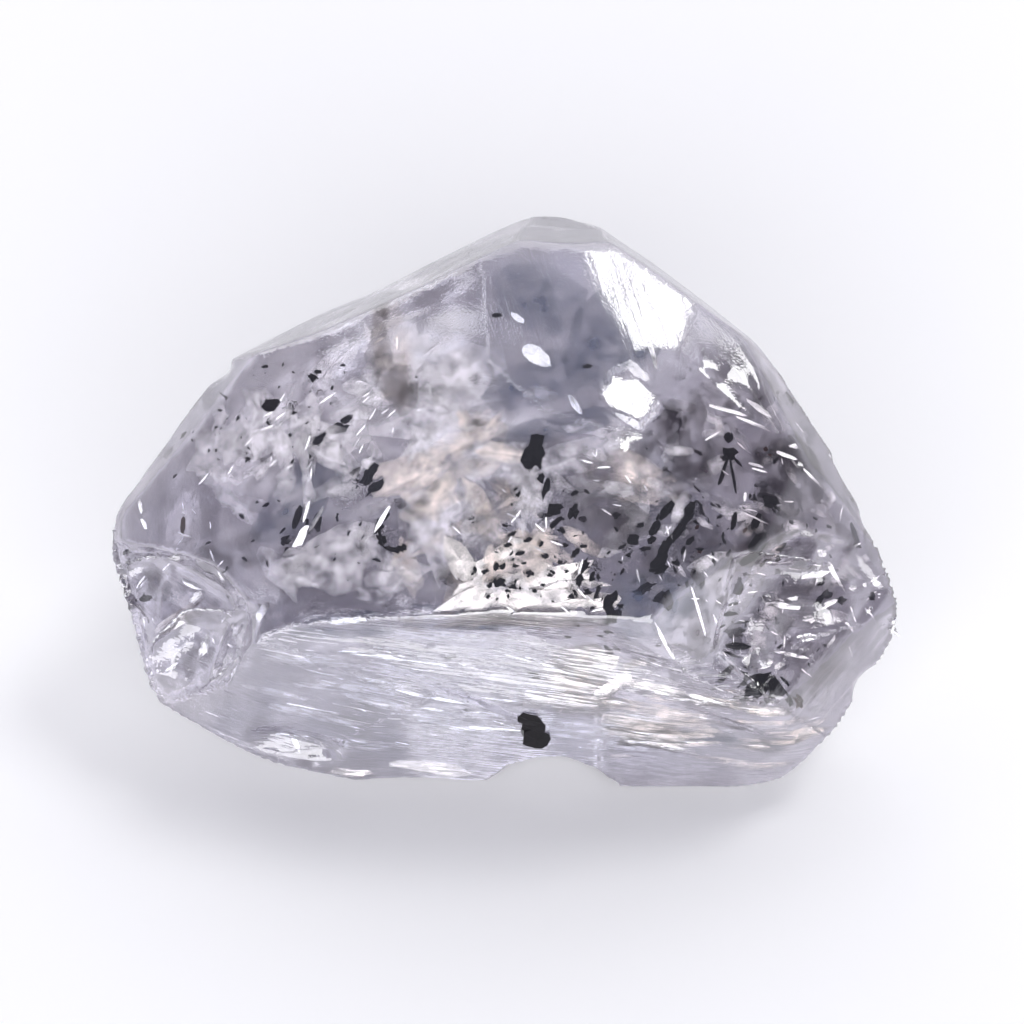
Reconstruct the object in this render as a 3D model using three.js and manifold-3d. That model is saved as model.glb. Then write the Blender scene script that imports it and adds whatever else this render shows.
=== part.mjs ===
// A rough diamond: one broken, partly grown crystal about 12 mm long, resting on a small flat spot.
// The grown outside is a set of crystal faces, some flat and stepped, one gently domed. Fractures, a
// stepped break along the front foot and chips at both ends are cut into it.
// Millimetres, +Z up, the stone standing on Z = 0.
import * as THREE from "three";
import { ImprovedNoise } from "three/addons/math/ImprovedNoise.js";
import { mergeVertices } from "three/addons/utils/BufferGeometryUtils.js";
import Module from "manifold-3d";

const wasm = await Module();
wasm.setup();

// Driving dimensions. A place on the stone is [across, up, towards]: millimetres to the right, up the
// view and towards the eye, from the middle of the stone, for an eye at the azimuth and elevation here.
// A face looks along its clock (0 right, 90 up) and leans away from the eye by its lean, in degrees.
const EYES = {
  front: { azimuth: 0, elevation: 50 },
  back: { azimuth: 180, elevation: 5 },
};

// Each side of the outline that the front eye sees: reach is its distance from the middle, depth how far
// towards the eye its rim lies, and front and back how far the two faces that meet at the rim lean.
const OUTLINE_SIDES = {
  longTopLeft: { clock: 114, reach: 3.84, depth: -1.3, front: 82, back: 118 },
  top: { clock: 88, reach: 4.34, depth: -1.1, front: 78, back: 112 },
  topRight: { clock: 54.6, reach: 4.18, depth: -0.7, front: 84, back: 114 },
  shoulder: { clock: 39, reach: 4.44, depth: -0.3, front: 80, back: 116 },
  longRight: { clock: 29.6, reach: 4.52, depth: 0.0, front: 66, back: 124 },
  rightTip: { clock: 0, reach: 6.05, depth: -0.1, front: 62, back: 118 },
  lowerRight: { clock: -33, reach: 6.0, depth: -0.2, front: 56, back: 112 },
  rightCorner: { clock: -54, reach: 5.92, depth: -0.6, front: 60, back: 104 },
  rightFoot: { clock: -76, reach: 5.14, depth: -0.7, front: 58, back: 102 },
  frontFoot: { clock: -91, reach: 4.34, depth: -0.6, front: 54, back: 98 },
  leftFoot: { clock: -105, reach: 4.78, depth: -0.5, front: 50, back: 100 },
  lowerLeft: { clock: -119, reach: 5.26, depth: -0.4, front: 52, back: 104 },
  leftEnd: { clock: -162, reach: 6.1, depth: -0.2, front: 60, back: 110 },
  leftTip: { clock: 172, reach: 5.96, depth: -0.2, front: 60, back: 116 },
  upperLeft: { clock: 143, reach: 4.74, depth: -0.3, front: 66, back: 122 },
};

// The broad domed face that the stone shows upwards.
const DOME = { radius: 13, clock: 112, lean: 13, at: [0, 0, 2.05], stretch: [1, 1.25, 1] };

// The other faces that look towards the front eye.
const FRONT_FACES = {
  glareFace: { clock: 60, lean: 33, at: [2.6, 2.75, 1.0] },
  shoulder: { clock: 36, lean: 38, at: [3.4, 1.7, 1.0] },
  rightSlope: { clock: 30, lean: 24, at: [2.9, 0.9, 1.45] },
  rightFlank: { clock: 8, lean: 34, at: [4.4, -0.4, 1.0] },
  lowerRight: { clock: -30, lean: 50, at: [5.2, -2.6, 0.45] },
  frontWall: { clock: -92, lean: 42, at: [0, -1.7, 2.35] },
  rightFoot: { clock: -70, lean: 42, at: [3.6, -3.0, 1.3] },
};

// The hidden faces behind and below, as the front eye would name them through the stone.
const HIDDEN_FACES = {
  backUnder: { clock: 100, lean: 150, at: [0, 1.5, -4.0] },
  backLeft: { clock: 165, lean: 140, at: [-3.6, 0.5, -2.7] },
  backRight: { clock: 20, lean: 142, at: [3.8, 0.6, -2.8] },
  underLeft: { clock: -140, lean: 138, at: [-3.7, -2.5, -2.2] },
  underRight: { clock: -45, lean: 136, at: [3.9, -2.5, -2.2] },
};

const FOOT_LEVEL = -3.75; // of the resting face, below the middle

// Broken steps: what lies beyond every face of one list is gone.
const STEPS = {
  ledge: [
    { clock: -79, lean: 64, at: [-2.76, -1.68, 1.75] },
    { clock: -92, lean: 64, at: [0, -1.7, 2.35] },
    { clock: -110, lean: 64, at: [1.33, -1.8, 2.2] },
    { clock: -92, lean: 27, at: [0, -2.15, 1.55] },
  ],
  lowerLedge: [
    { clock: -106, lean: 70, at: [-1.6, -2.62, 1.3] },
    { clock: -93, lean: 40, at: [0, -3.3, 0.7] },
    { clock: 172, lean: 80, at: [1.25, -3.2, 1.0] },
  ],
  middleCut: [
    { clock: -103, lean: 72, at: [2.6, -2.95, 1.4] },
    { clock: -84, lean: 46, at: [2.6, -3.25, 0.8] },
    { clock: 30, lean: 76, at: [1.32, -3.2, 1.0] },
  ],
  topLeftStep: [
    { clock: 116, lean: 86, at: [-4.27, 1.95, -0.8] },
    { clock: 196, lean: 88, at: [-4.27, 2.05, -0.8] },
  ],
  leftBreak: [
    { clock: 165, lean: 31, at: [-4.73, -1.3, 0.58] },
    { clock: -97, lean: 62, at: [-5.0, -0.9, 0.62] },
    { clock: -140, lean: 62, at: [-4.4, -1.22, 1.05] },
    { clock: 178, lean: 60, at: [-4.08, -2.0, 1.3] },
  ],
  leftBreakLow: [
    { clock: -150, lean: 24, at: [-4.73, -2.4, 0.3] },
    { clock: -57, lean: 66, at: [-5.06, -1.86, 0.45] },
    { clock: -112, lean: 60, at: [-4.3, -1.62, 1.1] },
    { clock: 168, lean: 62, at: [-4.06, -2.2, 1.2] },
    { clock: 128, lean: 56, at: [-4.45, -2.78, 0.4] },
  ],
  rightBreak: [
    { clock: 12, lean: 19, at: [4.4, -0.95, 0.84] },
    { clock: -72, lean: 56, at: [4.4, -0.9, 1.05] },
    { clock: -22, lean: 40, at: [3.75, -1.3, 1.15] },
  ],
};

// Shell-shaped chips: at is where each lies in its eye's view, wide and high its size along and across
// its turn, and deep how far it sinks.
const CHIPS = [
  { eye: "front", at: [-5.5, -1.3], wide: 1.0, high: 0.6, deep: 0.08, turn: 20 }, // left end
  { eye: "front", at: [-3.15, -3.72], wide: 1.5, high: 0.7, deep: 0.26, turn: -8 }, // pit in the foot
  { eye: "front", at: [1.75, 1.5], wide: 1.7, high: 1.3, deep: 0.08, turn: 50 }, // below the glare
  { eye: "back", at: [4.0, -0.5], wide: 2.4, high: 1.7, deep: 0.3, turn: 35 }, // left end, behind
  { eye: "back", at: [-4.1, -1.5], wide: 2.4, high: 1.4, deep: 0.24, turn: 48 }, // right tip, behind
  { eye: "back", at: [0.4, -2.6], wide: 3.6, high: 1.3, deep: 0.26, turn: 6 }, // low behind
];

// Bites out of the outline, as balls stretched along the front eye's axes.
const BITES = [
  { at: [0.55, -4.72, -0.7], size: [1.15, 0.88, 2.3] }, // under the front foot
  { at: [5.6, -2.9, -0.1], size: [0.42, 0.34, 1.4] }, // below the right tip
];

// Growth plates: the outermost layers of a face behind the outline have grown only within these sides,
// whose clocks and reaches are the face's own.
const PLATES = [
  { on: "longRight", thick: 0.13, within: [{ clock: -112, reach: 1.5 }, { clock: -60, reach: 1.2 }] },
  { on: "longRight", thick: 0.29, within: [{ clock: -118, reach: 2.4 }, { clock: -55, reach: 2.0 }] },
  { on: "longTopLeft", thick: 0.12, within: [{ clock: -118, reach: 1.2 }, { clock: -64, reach: 1.3 }] },
  { on: "longTopLeft", thick: 0.25, within: [{ clock: -122, reach: 1.9 }, { clock: -60, reach: 2.1 }] },
];

// How far the waves of a natural surface stray from a true plane: slow ones, and small ones.
const SWELL = { height: 0.07, length: 3.1 };
const RIPPLE = { height: 0.014, length: 0.9 };
const LUMPS = { share: 0.09, length: 0.9 }; // of the ball that a bite or a chip is

const ROUGH_SIZE = 16; // of the lump that everything is cut from
const BLOCK = 18; // of what cuts it
const GRAIN = 0.56; // the chord of the uneven faces
const FINE_GRAIN = 0.3; // and of the bites
const CHIP_DETAIL = 2; // how finely a chip's ball is faceted
const DISH_RATIO = 3; // of a chip's ball radius to its depth
const WELD = 1e-4;

const radians = THREE.MathUtils.degToRad;

/** The matrix that takes an eye's [across, up, towards] to the stone's axes. */
function eyeMatrix({ azimuth, elevation }) {
  const turned = new THREE.Matrix4().makeRotationZ(radians(azimuth));
  return turned.multiply(new THREE.Matrix4().makeRotationX(radians(90 - elevation)));
}

const noise = new ImprovedNoise();
const eyes = Object.fromEntries(Object.entries(EYES).map(([name, eye]) => [name, eyeMatrix(eye)]));

/** The unit vector that a face with this clock and lean for the front eye looks along. */
function looking(clock, lean) {
  const out = Math.sin(radians(lean));
  const ahead = Math.cos(radians(lean));
  const sight = new THREE.Vector3(out * Math.cos(radians(clock)), out * Math.sin(radians(clock)), ahead);
  return sight.applyMatrix4(eyes.front);
}

/** A closed three.js geometry as a solid. */
function solid(geometry) {
  const bare = geometry.clone();
  bare.deleteAttribute("normal");
  bare.deleteAttribute("uv");
  const merged = mergeVertices(bare, WELD);
  return new wasm.Manifold(
    new wasm.Mesh({
      numProp: 3,
      vertProperties: merged.attributes.position.array,
      triVerts: new Uint32Array(merged.index.array),
    }),
  );
}

/** A solid as a geometry. */
function geometryOf(made) {
  const mesh = made.getMesh();
  return new THREE.BufferGeometry()
    .setAttribute("position", new THREE.BufferAttribute(new Float32Array(mesh.vertProperties), 3))
    .setIndex(new THREE.BufferAttribute(new Uint32Array(mesh.triVerts), 1));
}

/** How far a natural surface strays outwards at a point. */
function waviness(point) {
  return [SWELL, RIPPLE].reduce((sum, { height, length }) => {
    return sum + 2 * height * noise.noise(point.x / length, point.y / length, point.z / length);
  }, 0);
}

/** A ball stretched to these half sizes, with chords of about the length of its grain. */
function ball(sizes, grain) {
  const around = Math.max(18, Math.ceil((2 * Math.PI * Math.max(...sizes)) / grain));
  return new THREE.SphereGeometry(1, around, Math.ceil(around / 2)).scale(...sizes);
}

/** The block of space that lies out from the slightly wavy face through a place. */
function blockBeyond(out, place) {
  const foot = out.clone().multiplyScalar(place.dot(out));
  const cells = Math.round(BLOCK / GRAIN);
  const block = new THREE.BoxGeometry(BLOCK, BLOCK, BLOCK / 2, cells, cells, 1).translate(0, 0, BLOCK / 4);
  block.applyQuaternion(new THREE.Quaternion().setFromUnitVectors(new THREE.Vector3(0, 0, 1), out));
  block.translate(foot.x, foot.y, foot.z);
  const places = block.attributes.position;
  const point = new THREE.Vector3();
  for (let i = 0; i < places.count; i += 1) {
    point.fromBufferAttribute(places, i);
    const isOnFace = Math.abs(point.clone().sub(foot).dot(out)) < GRAIN / 2;
    if (isOnFace) point.addScaledVector(out, waviness(point));
    places.setXYZ(i, point.x, point.y, point.z);
  }
  return solid(block);
}

/** The block of space that lies beyond a named face. */
function beyond({ clock, lean, at }) {
  return blockBeyond(looking(clock, lean), new THREE.Vector3(...at).applyMatrix4(eyes.front));
}

/** Makes a ball uneven, so that what it cuts has no regular outline. */
function lumpy(geometry, seed) {
  const places = geometry.attributes.position;
  const point = new THREE.Vector3();
  for (let i = 0; i < places.count; i += 1) {
    point.fromBufferAttribute(places, i);
    const place = point.clone().divideScalar(LUMPS.length);
    point.multiplyScalar(1 + 2 * LUMPS.share * noise.noise(place.x + seed, place.y, place.z));
    places.setXYZ(i, point.x, point.y, point.z);
  }
  return geometry;
}

/** The two faces that meet at one side's rim. */
function rimFaces({ clock, reach, depth, front, back }) {
  const at = [reach * Math.cos(radians(clock)), reach * Math.sin(radians(clock)), depth];
  return [
    { clock, lean: front, at },
    { clock, lean: back, at },
  ];
}

/** The big ball whose cap is the domed face. */
function domeBall({ radius, clock, lean, at, stretch }) {
  const out = looking(clock, lean);
  const centre = new THREE.Vector3(...at).applyMatrix4(eyes.front).addScaledVector(out, -radius);
  const geometry = ball(stretch.map((share) => share * radius), GRAIN);
  const up = new THREE.Vector3(0, 0, 1);
  geometry.applyQuaternion(new THREE.Quaternion().setFromUnitVectors(up, out));
  return solid(geometry.translate(centre.x, centre.y, centre.z));
}

/** Where an eye's line of sight meets a solid, and the way the surface looks there. */
function surfaceAt(made, eye, across, up) {
  const mesh = new THREE.Mesh(geometryOf(made), new THREE.MeshBasicMaterial());
  const start = new THREE.Vector3(across, up, BLOCK).applyMatrix4(eye);
  const sight = new THREE.Vector3(0, 0, -1).applyMatrix4(eye);
  const [hit] = new THREE.Raycaster(start, sight).intersectObject(mesh);
  return { point: hit.point, normal: hit.face.normal.clone() };
}

/** The ball that leaves a shell-shaped chip in a solid. */
function chipBall(made, { eye, at, wide, high, deep, turn }) {
  const { point, normal } = surfaceAt(made, eyes[eye], ...at);
  const along = new THREE.Vector3(Math.cos(radians(turn)), Math.sin(radians(turn)), 0);
  along.applyMatrix4(eyes[eye]).projectOnPlane(normal).normalize();
  const aside = new THREE.Vector3().crossVectors(normal, along);
  const round = deep * DISH_RATIO;
  const share = Math.sqrt(1 - (1 - 1 / DISH_RATIO) ** 2);
  const facets = new THREE.IcosahedronGeometry(1, CHIP_DETAIL).rotateX(at[0]).rotateZ(at[1]);
  const geometry = facets.scale(wide / 2 / share, high / 2 / share, round);
  lumpy(geometry, at[0]);
  geometry.applyMatrix4(new THREE.Matrix4().makeBasis(along, aside, normal));
  const centre = point.addScaledVector(normal, round - deep);
  return solid(geometry.translate(centre.x, centre.y, centre.z));
}

/** The crystal before anything broke off it. */
function grownCrystal() {
  let made = domeBall(DOME).intersect(solid(new THREE.BoxGeometry(ROUGH_SIZE, ROUGH_SIZE, ROUGH_SIZE)));
  const sides = Object.values(OUTLINE_SIDES).flatMap(rimFaces);
  for (const face of [...sides, ...Object.values(FRONT_FACES), ...Object.values(HIDDEN_FACES)]) {
    made = made.subtract(beyond(face));
  }
  const ground = new THREE.BoxGeometry(BLOCK, BLOCK, BLOCK).translate(0, 0, FOOT_LEVEL - BLOCK / 2);
  return made.subtract(solid(ground));
}

/** A crystal whose outermost layer on one face is gone outside the sides of a growth plate. */
function plateLeft(made, { on, thick, within }) {
  const [, { clock, lean, at }] = rimFaces(OUTLINE_SIDES[on]);
  const out = looking(clock, lean);
  const up = new THREE.Vector3(0, 0, 1).projectOnPlane(out).normalize();
  const right = new THREE.Vector3().crossVectors(up, out);
  const middle = new THREE.Vector3(...at).applyMatrix4(eyes.front);
  const layer = blockBeyond(out, middle.clone().addScaledVector(out, -thick));
  return within.reduce((left, side) => {
    const away = new THREE.Vector3().addScaledVector(right, Math.cos(radians(side.clock)));
    away.addScaledVector(up, Math.sin(radians(side.clock)));
    const wall = blockBeyond(away, middle.clone().addScaledVector(away, side.reach));
    return left.subtract(layer.intersect(wall));
  }, made);
}

/** The crystal with its steps, chips and bites. */
function brokenCrystal() {
  let made = grownCrystal();
  for (const step of Object.values(STEPS)) {
    const gone = step.map(beyond).reduce((all, face) => all.intersect(face));
    made = made.subtract(gone);
  }
  for (const plate of PLATES) made = plateLeft(made, plate);
  for (const chip of CHIPS) made = made.subtract(chipBall(made, chip));
  for (const { at, size } of BITES) {
    const bite = lumpy(ball(size, FINE_GRAIN), at[0]).translate(...at).applyMatrix4(eyes.front);
    made = made.subtract(solid(bite));
  }
  return made;
}

const surface = geometryOf(brokenCrystal());
surface.computeBoundingBox();
const box = surface.boundingBox;

const diamond = new THREE.Mesh(
  surface,
  new THREE.MeshStandardMaterial({ color: 0xdcd9e4, roughness: 0.15, metalness: 0 }),
);
diamond.name = "rough_diamond";
diamond.position.set(-(box.min.x + box.max.x) / 2, -(box.min.y + box.max.y) / 2, -FOOT_LEVEL);

const part = new THREE.Group();
part.add(diamond);
export default part;
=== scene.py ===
"""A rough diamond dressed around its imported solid.

The stone is one clear body with the fine surface of a natural crystal: satin where it grew, glossy
where it broke. Graphite flakes, specks and pale feathers lie inside it. Everything is in metres in
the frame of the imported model. Places on the front are (right, down) in the front eye's picture.
"""

import itertools
import logging
import math
from dataclasses import dataclass, field
from enum import Enum

import bmesh
import bpy
import numpy as np
from bpy.types import ID, Material, Mesh, Node, NodeSocket, NodeTree, Object
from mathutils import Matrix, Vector
from mathutils.bvhtree import BVHTree


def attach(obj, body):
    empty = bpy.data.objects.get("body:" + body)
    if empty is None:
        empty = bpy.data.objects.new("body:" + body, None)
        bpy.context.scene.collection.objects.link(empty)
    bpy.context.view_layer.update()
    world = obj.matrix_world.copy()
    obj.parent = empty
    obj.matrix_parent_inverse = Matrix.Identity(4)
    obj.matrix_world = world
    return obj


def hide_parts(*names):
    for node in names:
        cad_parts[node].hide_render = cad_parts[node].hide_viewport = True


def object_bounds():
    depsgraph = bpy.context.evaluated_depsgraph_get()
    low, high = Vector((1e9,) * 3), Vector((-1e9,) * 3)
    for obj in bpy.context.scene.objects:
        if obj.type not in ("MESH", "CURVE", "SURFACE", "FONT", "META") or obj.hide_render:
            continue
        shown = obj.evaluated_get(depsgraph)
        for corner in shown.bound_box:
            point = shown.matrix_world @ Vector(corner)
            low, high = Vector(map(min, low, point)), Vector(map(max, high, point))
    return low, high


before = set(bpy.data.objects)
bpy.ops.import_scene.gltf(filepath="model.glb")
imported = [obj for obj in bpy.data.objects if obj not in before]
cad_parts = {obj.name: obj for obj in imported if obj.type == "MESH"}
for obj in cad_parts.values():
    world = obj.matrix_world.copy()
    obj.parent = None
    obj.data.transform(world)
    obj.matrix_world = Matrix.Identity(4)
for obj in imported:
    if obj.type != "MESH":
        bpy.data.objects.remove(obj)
CAD_LOW, CAD_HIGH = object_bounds()

log = logging.getLogger("rough_diamond")

MM = 0.001
NODE = "rough_diamond"
DIAMOND_IOR = 2.417
EYE_ELEVATION = math.radians(50)
EYE_MIDDLE = Vector((0.1206, -0.6696, 3.75))  # mm, the middle of the front eye's view on the stone
PER_MM = 66.0  # picture points to the millimetre, in the front eye's picture of 1024 by 1024
SEED = 41

Outline = tuple[tuple[float, float], ...]  # corners in the front eye's picture, right and down


def from_view(across: float, up: float, towards: float) -> Vector:
    """Turns a direction or offset in the front eye's view into the frame's axes.

    Args:
        across: Amount to the eye's right.
        up: Amount up the eye's view.
        towards: Amount towards the eye.

    Returns:
        The same vector along the frame's X, Y and Z.
    """
    sine, cosine = math.sin(EYE_ELEVATION), math.cos(EYE_ELEVATION)
    return Vector((across, up * sine - towards * cosine, up * cosine + towards * sine))


def linked(name: str, data: ID) -> Object:
    """Makes an object of some data and puts it in the scene.

    Args:
        name: The object's name.
        data: Its mesh, light or camera.

    Returns:
        The object.
    """
    made = bpy.data.objects.new(name, data)
    bpy.context.scene.collection.objects.link(made)
    return made


def wire(tree: NodeTree, node: Node, inputs: dict) -> Node:
    """Gives a node's inputs their values and links.

    Args:
        tree: The tree that the node is in.
        node: The node.
        inputs: A number, colour or other node's output for each input's name.

    Returns:
        The node.
    """
    for name, value in inputs.items():
        if isinstance(value, NodeSocket):
            tree.links.new(value, node.inputs[name])
        else:
            node.inputs[name].default_value = value
    return node


def add(tree: NodeTree, kind: str, inputs: dict | None = None, **settings: str) -> Node:
    """Adds a node.

    Args:
        tree: The tree that it goes into.
        kind: Its type.
        inputs: The values and links of its inputs, as in wire.
        settings: Its own settings, such as an operation.

    Returns:
        The node.
    """
    node = tree.nodes.new(kind)
    for name, value in settings.items():
        setattr(node, name, value)
    return wire(tree, node, inputs or {})


def new_material(mesh: Mesh, name: str) -> tuple[NodeTree, Node]:
    """Gives a mesh a new material, and returns its tree and shader."""
    material = bpy.data.materials.new(name)
    material.use_nodes = True
    mesh.materials.append(material)
    return material.node_tree, material.node_tree.nodes["Principled BSDF"]


@dataclass
class Eye:
    """The camera at the photograph's viewing angle."""

    distance: float = 150.0  # mm from the middle of the view
    field: float = 15.515  # mm across the picture at that distance
    drop: float = 0.18  # mm that the picture's centre lies below the view's middle
    sensor: float = 36.0

    def place(self) -> Vector:
        """Returns the camera's place in millimetres."""
        return EYE_MIDDLE + from_view(0, -self.drop, self.distance)

    def target(self, place: tuple[float, float]) -> Vector:
        """Returns the point in the middle plane of the view, in millimetres, that shows at a place."""
        across, down = place
        return EYE_MIDDLE + from_view((across - 512) / PER_MM, (500 - down) / PER_MM, 0)

    def picture(self, points: np.ndarray) -> np.ndarray:
        """Finds where points show in the picture.

        Args:
            points: Points in millimetres, one to a row.

        Returns:
            How far right and down each shows, one to a row.
        """
        axes = np.array([from_view(1, 0, 0), from_view(0, 1, 0), from_view(0, 0, 1)])
        local = (points - np.array(EYE_MIDDLE)) @ axes.T
        near = self.distance / (self.distance - local[:, 2])
        up = (local[:, 1] + self.drop) * near - self.drop
        return np.stack([512 + PER_MM * local[:, 0] * near, 500 - PER_MM * up], axis=1)

    def build(self) -> Object:
        """Makes the camera and makes it the scene's.

        Returns:
            The camera object.
        """
        data = bpy.data.cameras.new("eye")
        data.sensor_width = self.sensor
        data.lens = self.sensor * self.distance / self.field
        data.clip_start = 0.01
        data.clip_end = 10.0
        camera = linked("eye", data)
        camera.location = self.place() * MM
        camera.rotation_euler = (math.pi / 2 - EYE_ELEVATION, 0, 0)
        bpy.context.scene.camera = camera
        return camera


FILL_LAMP = (0.0, -0.81, 0.585)


@dataclass(frozen=True)
class Softbox:
    """One oblong soft light that looks at the stone."""

    name: str
    towards: tuple[float, float, float]
    distance: float  # metres
    wide: float  # metres
    high: float  # metres
    glow: float  # watts to the square metre and steradian

    def build(self) -> Object:
        """Makes the light, turned to the stone."""
        data = bpy.data.lights.new(self.name, "AREA")
        data.shape = "RECTANGLE"
        data.size = self.wide
        data.size_y = self.high
        data.energy = self.glow * math.pi * self.wide * self.high
        light = linked(self.name, data)
        out = Vector(self.towards).normalized()
        light.location = out * self.distance + Vector((0, 0, 0.003))
        light.rotation_euler = out.to_track_quat("Z", "Y").to_euler()
        return light


@dataclass
class Studio:
    """The pale floor, the soft surroundings and the softboxes."""

    floor_size: float = 3.0
    gap: float = 2e-6  # between the stone's foot and the floor, so that the two never share a plane
    floor_colour: tuple[float, float, float] = (0.93, 0.93, 0.935)
    overhead: tuple[float, float, float] = (0.05, 0.05, 0.075)
    around: tuple[float, float, float] = (0.90, 0.885, 1.0)
    strength: float = 1.3
    boxes: tuple[Softbox, ...] = (
        Softbox("glare_box", (0.454, 0.226, 0.862), 0.5, 0.13, 0.13, 10.0),
        Softbox("side_box", (0.801, 0.156, 0.578), 0.5, 0.06, 0.06, 4.5),
        Softbox("back_box", (0.0, 0.66, 0.75), 1.0, 1.7, 0.9, 1.28),
        Softbox("front_card", (0.0, -0.98, 0.2), 1.0, 1.6, 0.36, 2.05),
        Softbox("front_fill", FILL_LAMP, 1.0, 1.1, 0.5, 2.9),
    )

    def floor(self) -> Object:
        """Makes the floor that the stone rests on.

        Returns:
            The floor object.
        """
        half = self.floor_size / 2
        mesh = bpy.data.meshes.new("floor")
        corners = [(-half, -half), (half, -half), (half, half), (-half, half)]
        mesh.from_pydata([(x, y, -self.gap) for x, y in corners], [], [(0, 1, 2, 3)])
        tree, shader = new_material(mesh, "pale_floor")
        look = {"Base Color": (*self.floor_colour, 1), "Roughness": 0.7, "Specular IOR Level": 0.2}
        wire(tree, shader, look)
        floor = linked("floor", mesh)
        return floor

    def surroundings(self) -> None:
        """Makes a world that is bright near the horizon and greyer overhead."""
        world = bpy.data.worlds.new("tent")
        bpy.context.scene.world = world
        world.use_nodes = True
        tree = world.node_tree
        where = add(tree, "ShaderNodeTexCoord")
        split = add(tree, "ShaderNodeSeparateXYZ", {0: where.outputs["Generated"]})
        ramp = add(tree, "ShaderNodeValToRGB", {0: split.outputs["Z"]})
        stops = ((0.22, self.around), (0.7, self.overhead))
        for element, (height, colour) in zip(ramp.color_ramp.elements, stops):
            element.position = height
            element.color = (*colour, 1)
        back = {"Strength": self.strength, "Color": ramp.outputs["Color"]}
        wire(tree, tree.nodes["Background"], back)

    def build(self) -> None:
        """Makes the floor, the world, the lights and the way the picture is developed."""
        self.floor()
        self.surroundings()
        for box in self.boxes:
            box.build()
        scene = bpy.context.scene
        scene.view_settings.view_transform = "Standard"
        scene.cycles.max_bounces = scene.cycles.transmission_bounces = 16
        scene.cycles.glossy_bounces = 12
        scene.cycles.transparent_max_bounces = 8


def waves(places: np.ndarray, seed: int) -> np.ndarray:
    """Smooth random values that differ from cell to cell of a unit lattice.

    Args:
        places: Points in cells, one to a row.
        seed: Which set of values.

    Returns:
        A value from -1 to 1 for each point.
    """
    cell = np.floor(places).astype(np.int64)
    ease = (places - cell) ** 2 * (3 - 2 * (places - cell))
    total = np.zeros(len(places))
    for corner in itertools.product((0, 1), repeat=3):
        key = (cell + corner) @ np.array([73856093, 19349663, 83492791]) + seed * 7919
        key = ((key ^ (key >> 13)) * 1274126177) & 0x7FFFFFFF
        key = ((key ^ (key >> 15)) * 668265263) & 0x7FFFFFFF
        weight = np.prod(np.where(np.array(corner), ease, 1 - ease), axis=1)
        total += (key / 0x3FFFFFFF - 1) * weight
    return total


def within(outline: Outline, places: np.ndarray, soft: float) -> np.ndarray:
    """How far places lie inside an outline, with a soft border.

    Args:
        outline: The outline's corners.
        places: Points in the picture, one to a row.
        soft: The width of the border, in picture points.

    Returns:
        0 outside to 1 inside.
    """
    corners = np.array(outline, float)
    nearest = np.full(len(places), np.inf)
    crossed = np.zeros(len(places), int)
    for start, end in zip(corners, np.roll(corners, -1, axis=0)):
        side = end - start
        share = np.clip((places - start) @ side / (side @ side), 0, 1)
        nearest = np.minimum(nearest, np.hypot(*(places - start - share[:, None] * side).T))
        spans = (start[1] > places[:, 1]) != (end[1] > places[:, 1])
        at = start[0] + (places[:, 1] - start[1]) * side[0] / (side[1] or 1e-9)
        crossed += spans & (places[:, 0] < at)
    share = np.clip(np.where(crossed % 2, nearest, -nearest) / soft + 0.5, 0, 1)
    return share * share * (3 - 2 * share)


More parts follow.
